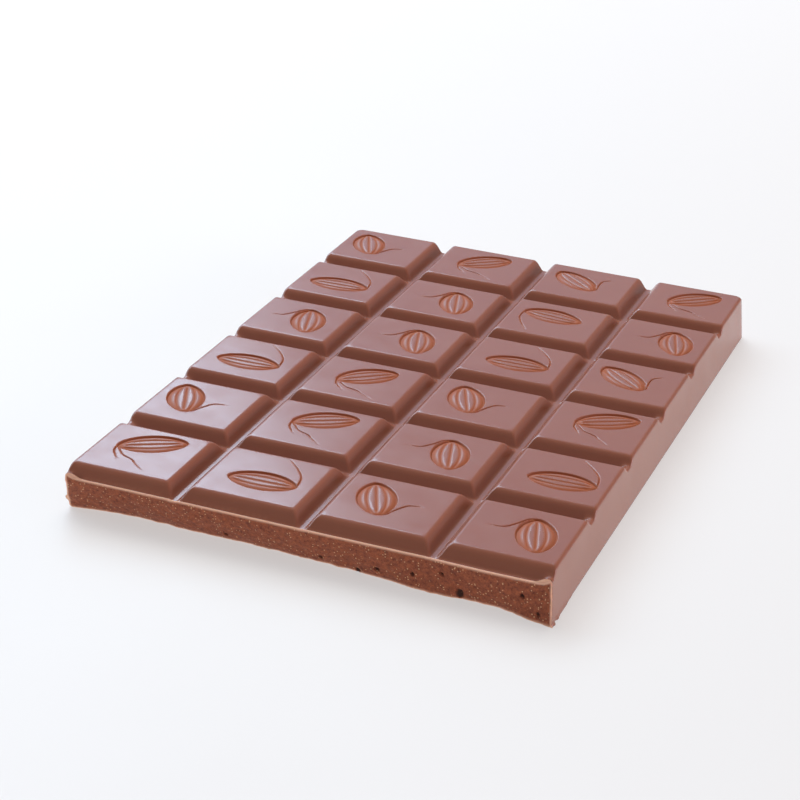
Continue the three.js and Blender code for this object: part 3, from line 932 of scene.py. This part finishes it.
def snapped_milk_chocolate():
    material, tree = new_material("snapped_milk_chocolate")
    place = add(tree, "ShaderNodeTexCoord").outputs["Object"]
    grain = add(tree, "ShaderNodeTexNoise", {
        "Vector": place, "Scale": per_size(GRAIN_SIZE), "Detail": 6.0, "Roughness": 0.85,
    })
    mottle = add(tree, "ShaderNodeMapRange", {
        "Value": grain.outputs["Fac"], "From Min": GRAIN_CONTRAST[0], "From Max": GRAIN_CONTRAST[1],
    })
    colour = add(tree, "ShaderNodeMix", {
        "Factor": mottle.outputs["Result"], "A": DARK_GRAIN, "B": PALE_GRAIN,
    }, data_type="RGBA")
    crystals = add(tree, "ShaderNodeTexVoronoi", {
        "Vector": place, "Scale": per_size(SPECK_SPACING),
    })
    is_speck = add(tree, "ShaderNodeMapRange", {
        "Value": crystals.outputs["Distance"], "From Min": SPECK_EDGE[0], "From Max": SPECK_EDGE[1],
    })
    chance = add(tree, "ShaderNodeSeparateColor", {"Color": crystals.outputs["Color"]})
    is_pale = add(tree, "ShaderNodeMath", {
        0: chance.outputs["Red"], 1: PLAIN_SHARE,
    }, operation="GREATER_THAN")
    speck = add(tree, "ShaderNodeMath", {
        0: is_speck.outputs["Result"], 1: is_pale.outputs["Value"],
    }, operation="MULTIPLY")
    specked = add(tree, "ShaderNodeMix", {
        "Factor": speck.outputs["Value"], "A": colour.outputs["Result"], "B": SPECK,
    }, data_type="RGBA")
    edge_highlight_and_pit_shade = add(tree, "ShaderNodeAttribute", attribute_name="edge_highlight_and_pit_shade").outputs["Fac"]
    # Painted highlight along the edges.
    highlight_share = add(tree, "ShaderNodeMapRange", {
        "Value": edge_highlight_and_pit_shade, "From Max": FULL_HIGHLIGHT, "To Max": 0.95,
    })
    edge_lit = add(tree, "ShaderNodeMix", {
        "Factor": highlight_share.outputs["Result"], "A": specked.outputs["Result"], "B": CRUMB_HIGHLIGHT,
    }, data_type="RGBA")
    # Painted shade down in the bubbles.
    depth = add(tree, "ShaderNodeMapRange", {
        "Value": edge_highlight_and_pit_shade, "From Min": 0.0, "From Max": FULL_PIT_SHADE, "To Max": 0.85,
    })
    shaded = add(tree, "ShaderNodeMix", {
        "Factor": depth.outputs["Result"], "A": edge_lit.outputs["Result"], "B": PIT_SHADE,
    }, data_type="RGBA")
    relief = add(tree, "ShaderNodeBump", {
        "Height": grain.outputs["Fac"], "Strength": 0.8, "Distance": GRAIN_HEIGHT * MM,
    })
    surface = add(tree, "ShaderNodeBsdfPrincipled", {
        "Base Color": shaded.outputs["Result"],
        "Roughness": SNAPPED_ROUGHNESS, "IOR": SNAPPED_IOR,
        "Subsurface Weight": 0.15, "Subsurface Radius": GLOW_REACH, "Subsurface Scale": 0.6 * MM,
        "Normal": relief.outputs["Normal"],
    })
    add(tree, "ShaderNodeOutputMaterial", {"Surface": surface.outputs["BSDF"]})
    return material


mesh.materials.append(snapped_milk_chocolate())
print("made", mesh.materials[SNAPPED_FACE].name)

# %% [markdown]
# ## Poured milk chocolate
# The underside never touched the mould. It was the open back, scraped level and left to set in the
# air, so it is duller than the rest, with soft ripples.

# %% Poured milk chocolate
RIPPLE_SIZE, RIPPLE_HEIGHT = 5.0, 0.12
POURED_BROWNS = linear("#774030"), linear("#8A4F3A")
POURED_ROUGHNESS = (0.42, 0.6)


def poured_milk_chocolate():
    material, tree = new_material("poured_milk_chocolate")
    place = add(tree, "ShaderNodeTexCoord").outputs["Object"]
    ripples = add(tree, "ShaderNodeTexNoise", {
        "Vector": place, "Scale": per_size(RIPPLE_SIZE), "Detail": 4.0,
    })
    colour = add(tree, "ShaderNodeMix", {
        "Factor": ripples.outputs["Fac"], "A": POURED_BROWNS[0], "B": POURED_BROWNS[1],
    }, data_type="RGBA")
    gloss = add(tree, "ShaderNodeMapRange", {
        "Value": ripples.outputs["Fac"],
        "To Min": POURED_ROUGHNESS[0], "To Max": POURED_ROUGHNESS[1],
    })
    relief = add(tree, "ShaderNodeBump", {
        "Height": ripples.outputs["Fac"], "Strength": 0.5, "Distance": RIPPLE_HEIGHT * MM,
    })
    surface = add(tree, "ShaderNodeBsdfPrincipled", {
        "Base Color": colour.outputs["Result"], "Roughness": gloss.outputs["Result"],
        "Normal": relief.outputs["Normal"], "IOR": COCOA_BUTTER_IOR,
    })
    add(tree, "ShaderNodeOutputMaterial", {"Surface": surface.outputs["BSDF"]})
    return material


mesh.materials.append(poured_milk_chocolate())
print("made", mesh.materials[POURED].name)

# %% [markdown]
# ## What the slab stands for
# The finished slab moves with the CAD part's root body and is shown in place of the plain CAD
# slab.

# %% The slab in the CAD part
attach(slab, "root")
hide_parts("chocolate_slab")
print("finishes:", [material.name for material in mesh.materials])

# %% [markdown]
# ## The table
# The slab lies on a light table: a sheet of milky white acrylic with a fine frosted surface, lit
# from below. Part of its light is its own, and the rest is the room's, so the slab's shadow on it
# is soft and pale. It fills the whole view.

# %% The light table
TABLE_SIZE = 8000.0
FROST_SIZE = 60.0
FROST_ROUGHNESS = (0.5, 0.6)
TABLE_WHITE, TABLE_LIGHT = linear("#979390"), linear("#FFFDFC")
TABLE_GLOW = 0.5


def milky_acrylic():
    material, tree = new_material("milky_acrylic")
    place = add(tree, "ShaderNodeTexCoord").outputs["Object"]
    frost = add(tree, "ShaderNodeTexNoise", {
        "Vector": place, "Scale": per_size(FROST_SIZE), "Detail": 2.0,
    })
    gloss = add(tree, "ShaderNodeMapRange", {
        "Value": frost.outputs["Fac"], "To Min": FROST_ROUGHNESS[0], "To Max": FROST_ROUGHNESS[1],
    })
    surface = add(tree, "ShaderNodeBsdfPrincipled", {
        "Base Color": TABLE_WHITE, "Roughness": gloss.outputs["Result"],
        "Emission Color": TABLE_LIGHT, "Emission Strength": TABLE_GLOW,
    })
    add(tree, "ShaderNodeOutputMaterial", {"Surface": surface.outputs["BSDF"]})
    return material


half = TABLE_SIZE / 2 * MM
table_mesh = bpy.data.meshes.new("table")
table_mesh.from_pydata(
    [(-half, -half, 0), (half, -half, 0), (half, half, 0), (-half, half, 0)], [], [(0, 1, 2, 3)]
)
table_mesh.materials.append(milky_acrylic())
table = bpy.data.objects.new("table", table_mesh)
bpy.context.scene.collection.objects.link(table)
print("table:", TABLE_SIZE / 1000, "m square")

# %% [markdown]
# ## The lamps
# Chocolate is dark and glossy, so much of what the eye sees on it is a mirror image. A big window
# stands behind the slab on its left: the level tops mirror it at a low angle, brightest at the
# front left, and the walls don't, which parts the pale tops from the brown walls. A low lamp on
# the right lights the long side wall. The brown itself needs light without another mirror image,
# so the third lamp is polarised, as in a food studio: it is left out of the reflections.

# %% The lamps
scene = bpy.context.scene
scene.view_settings.view_transform = "Standard"
LAMP_FAR = 1500.0
WINDOW = {"turn": -59.0, "rise": 36.5, "size": (1875.0, 600.0), "radiance": 5.2}
LOW_LAMP = {"turn": 80.0, "rise": 10.0, "size": (1650.0, 500.0), "radiance": 5.4}
POLARISED_LAMP = {"turn": -25.0, "rise": 52.0, "size": (1500.0, 1500.0), "radiance": 2.75}


def direction(turn, rise):
    """Away from the slab: degrees clockwise from straight behind it, and above the table."""
    turn, rise = math.radians(turn), math.radians(rise)
    return Vector((math.sin(turn) * math.cos(rise), math.cos(turn) * math.cos(rise), math.sin(rise)))


def softbox(name, turn, rise, size, radiance, colour):
    """A flat light that faces the slab and looks equally bright wherever it is seen from."""
    light = bpy.data.lights.new(name, "AREA")
    light.shape = "RECTANGLE"
    light.size, light.size_y = size[0] * MM, size[1] * MM
    light.color = linear(colour)[:3]
    light.energy = radiance * math.pi * light.size * light.size_y
    lamp = bpy.data.objects.new(name, light)
    away = direction(turn, rise)
    lamp.location = away * LAMP_FAR * MM
    lamp.rotation_euler = away.to_track_quat("Z", "Y").to_euler()
    scene.collection.objects.link(lamp)
    return lamp


softbox("window", colour="#CBE8FF", **WINDOW)
softbox("low_lamp", colour="#F8EEFF", **LOW_LAMP)
polarised = softbox("polarised_lamp", colour="#FFFAF2", **POLARISED_LAMP)
polarised.visible_glossy = False

# %% [markdown]
# ## The room
# The room is white. Its far left is lit by daylight, bright and a little blue, and the rest is
# dimmer and neutral. The tops at the front left mirror the bright part, and those at the back
# right mirror its border, so they look browner. A world that depends on the direction does this
# without any walls.

# %% The room
DIM_SIDE, DIM_LIGHT = "#F4F4FC", 0.34
LIT_SIDE, LIT_LIGHT = "#C8DCFF", 0.98
LIT_FROM = {"turn": -40.0, "rise": 28.0}
LIT_EDGE = (0.72, 0.99)  # cosines of the angles from there at which the lit side ends and is full

world = bpy.data.worlds.new("white_room")
world.use_nodes = True
world.node_tree.nodes.clear()
room = world.node_tree
towards = add(room, "ShaderNodeTexCoord").outputs["Generated"]
to_lit_side = add(room, "ShaderNodeVectorMath", {
    0: towards, 1: direction(**LIT_FROM),
}, operation="DOT_PRODUCT")
lit = add(room, "ShaderNodeMapRange", {
    "Value": to_lit_side.outputs["Value"], "From Min": LIT_EDGE[0], "From Max": LIT_EDGE[1],
}, interpolation_type="SMOOTHSTEP").outputs["Result"]
strength = add(room, "ShaderNodeMapRange", {
    "Value": lit, "To Min": DIM_LIGHT, "To Max": LIT_LIGHT,
})
colour = add(room, "ShaderNodeMix", {
    "Factor": lit, "A": linear(DIM_SIDE), "B": linear(LIT_SIDE),
}, data_type="RGBA")
sky = add(room, "ShaderNodeBackground", {
    "Color": colour.outputs["Result"], "Strength": strength.outputs["Result"],
})
add(room, "ShaderNodeOutputWorld", {"Surface": sky.outputs["Background"]})
scene.world = world
print("room:", world.name, DIM_LIGHT, "to", LIT_LIGHT)

# %% [markdown]
# ## The camera
# A long lens looks down on the slab at a low angle, from its front right. It stands close, under
# 40 cm away, so the back rows look clearly smaller than the front one, and it is rolled by a few
# degrees, as a camera held by hand is.

# %% The camera
CAMERA_AT = Vector((109.49, -339.92, 157.82))
LOOKS_AT = Vector((-4.875, -5.028, 4.0))
CAMERA_ROLL = 3.535  # degrees
LENS, SENSOR = 105.92, 36.0

camera = bpy.data.cameras.new("camera")
camera.lens, camera.sensor_width = LENS, SENSOR
camera.clip_start, camera.clip_end = 0.01, 50
viewer = bpy.data.objects.new("camera", camera)
look = (LOOKS_AT - CAMERA_AT).to_track_quat("-Z", "Y").to_matrix().to_4x4()
roll = Matrix.Rotation(math.radians(CAMERA_ROLL), 4, "Z")
viewer.matrix_world = Matrix.Translation(CAMERA_AT * MM) @ look @ roll
scene.collection.objects.link(viewer)
scene.camera = viewer
print("camera is", round((LOOKS_AT - CAMERA_AT).length), "mm from the slab")
